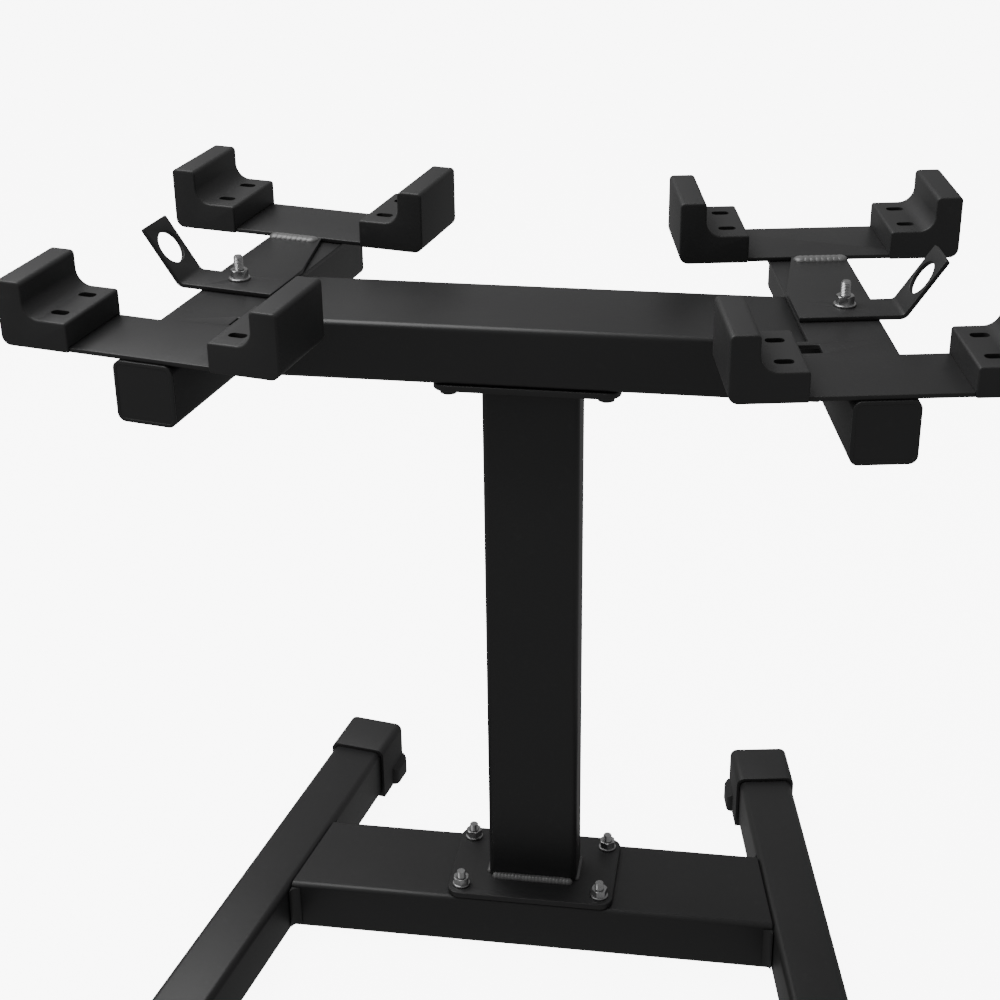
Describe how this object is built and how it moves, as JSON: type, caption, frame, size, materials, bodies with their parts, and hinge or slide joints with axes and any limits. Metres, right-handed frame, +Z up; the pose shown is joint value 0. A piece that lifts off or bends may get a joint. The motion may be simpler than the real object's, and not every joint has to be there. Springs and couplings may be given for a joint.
{
  "type": "adjustable dumbbell stand",
  "caption": "Free-standing black steel stand: splayed feet, a column and a cross beam whose ends carry toed-out cradles with L-shaped saddles for adjustable dumbbells in their trays.",
  "frame": {"origin": "on the floor, under the middle of the stand's bounding box", "axes": "+X to the right for the person using the stand, +Y away from them, +Z up"},
  "size_m": [0.7828, 0.5218, 0.6645],
  "materials": {
    "black_powder_coat": "satin",
    "black_plastic": "matte",
    "zinc_plate": "bright zinc plate"
  },
  "bodies": {
    "frame": {"base_crossbar": "black_powder_coat", "column": "black_powder_coat", "column_base_flange": "black_powder_coat", "column_top_flange": "black_powder_coat", "beam": "black_powder_coat", "base_stud_front_left": "zinc_plate", "base_nut_front_left": "zinc_plate", "beam_bolt_front_left": "black_powder_coat", "base_stud_rear_left": "zinc_plate", "base_nut_rear_left": "zinc_plate", "beam_bolt_rear_left": "black_powder_coat", "base_stud_front_right": "zinc_plate", "base_nut_front_right": "zinc_plate", "beam_bolt_front_right": "black_powder_coat", "base_stud_rear_right": "zinc_plate", "base_nut_rear_right": "zinc_plate", "beam_bolt_rear_right": "black_powder_coat", "left_foot_tube": "black_powder_coat", "left_foot_rear_cap": "black_plastic", "left_foot_front_cap": "black_plastic", "left_spine_tube": "black_powder_coat", "left_spine_front_end_plate": "black_powder_coat", "left_spine_rear_end_plate": "black_powder_coat", "left_front_cross_plate": "black_powder_coat", "right_foot_tube": "black_powder_coat", "right_foot_rear_cap": "black_plastic", "right_foot_front_cap": "black_plastic", "right_spine_tube": "black_powder_coat", "right_spine_front_end_plate": "black_powder_coat", "right_spine_rear_end_plate": "black_powder_coat", "right_front_cross_plate": "black_powder_coat"},
    "left_carriage": {"left_rear_cross_plate": "black_powder_coat", "left_side_bracket": "black_powder_coat", "left_clamp_bolt": "zinc_plate"},
    "left_clamp_nut": {"left_clamp_nut": "zinc_plate"},
    "left_front_inner_saddle": {"left_front_inner_saddle": "black_plastic"},
    "left_front_outer_saddle": {"left_front_outer_saddle": "black_plastic"},
    "left_rear_inner_saddle": {"left_rear_inner_saddle": "black_plastic"},
    "left_rear_outer_saddle": {"left_rear_outer_saddle": "black_plastic"},
    "right_carriage": {"right_rear_cross_plate": "black_powder_coat", "right_side_bracket": "black_powder_coat", "right_clamp_bolt": "zinc_plate"},
    "right_clamp_nut": {"right_clamp_nut": "zinc_plate"},
    "right_front_inner_saddle": {"right_front_inner_saddle": "black_plastic"},
    "right_front_outer_saddle": {"right_front_outer_saddle": "black_plastic"},
    "right_rear_inner_saddle": {"right_rear_inner_saddle": "black_plastic"},
    "right_rear_outer_saddle": {"right_rear_outer_saddle": "black_plastic"}
  },
  "joints": [
    {"name": "left_carriage_slide", "type": "slide", "parent": "frame", "child": "left_carriage", "axis": [0.1908, 0.9816, 0], "range_m": [0, 0.02]},
    {"name": "left_clamp_nut_turn", "type": "hinge", "parent": "left_carriage", "child": "left_clamp_nut", "pos_m": [-0.24348, 0.04564, 0.616], "axis": [0, 0, 1], "range_deg": [0, 360]},
    {"name": "left_front_inner_saddle_slide", "type": "slide", "parent": "frame", "child": "left_front_inner_saddle", "axis": [0.9816, -0.1908, 0], "range_m": [-0.0035, 0.0035]},
    {"name": "left_front_outer_saddle_slide", "type": "slide", "parent": "frame", "child": "left_front_outer_saddle", "axis": [-0.9816, 0.1908, 0], "range_m": [-0.0035, 0.0035]},
    {"name": "left_rear_inner_saddle_slide", "type": "slide", "parent": "left_carriage", "child": "left_rear_inner_saddle", "axis": [0.9816, -0.1908, 0], "range_m": [-0.0035, 0.0035]},
    {"name": "left_rear_outer_saddle_slide", "type": "slide", "parent": "left_carriage", "child": "left_rear_outer_saddle", "axis": [-0.9816, 0.1908, 0], "range_m": [-0.0035, 0.0035]},
    {"name": "right_carriage_slide", "type": "slide", "parent": "frame", "child": "right_carriage", "axis": [-0.1908, 0.9816, 0], "range_m": [0, 0.02]},
    {"name": "right_clamp_nut_turn", "type": "hinge", "parent": "right_carriage", "child": "right_clamp_nut", "pos_m": [0.24348, 0.04564, 0.616], "axis": [0, 0, 1], "range_deg": [0, 360]},
    {"name": "right_front_inner_saddle_slide", "type": "slide", "parent": "frame", "child": "right_front_inner_saddle", "axis": [-0.9816, -0.1908, 0], "range_m": [-0.0035, 0.0035]},
    {"name": "right_front_outer_saddle_slide", "type": "slide", "parent": "frame", "child": "right_front_outer_saddle", "axis": [0.9816, 0.1908, 0], "range_m": [-0.0035, 0.0035]},
    {"name": "right_rear_inner_saddle_slide", "type": "slide", "parent": "right_carriage", "child": "right_rear_inner_saddle", "axis": [-0.9816, -0.1908, 0], "range_m": [-0.0035, 0.0035]},
    {"name": "right_rear_outer_saddle_slide", "type": "slide", "parent": "right_carriage", "child": "right_rear_outer_saddle", "axis": [0.9816, 0.1908, 0], "range_m": [-0.0035, 0.0035]}
  ]
}
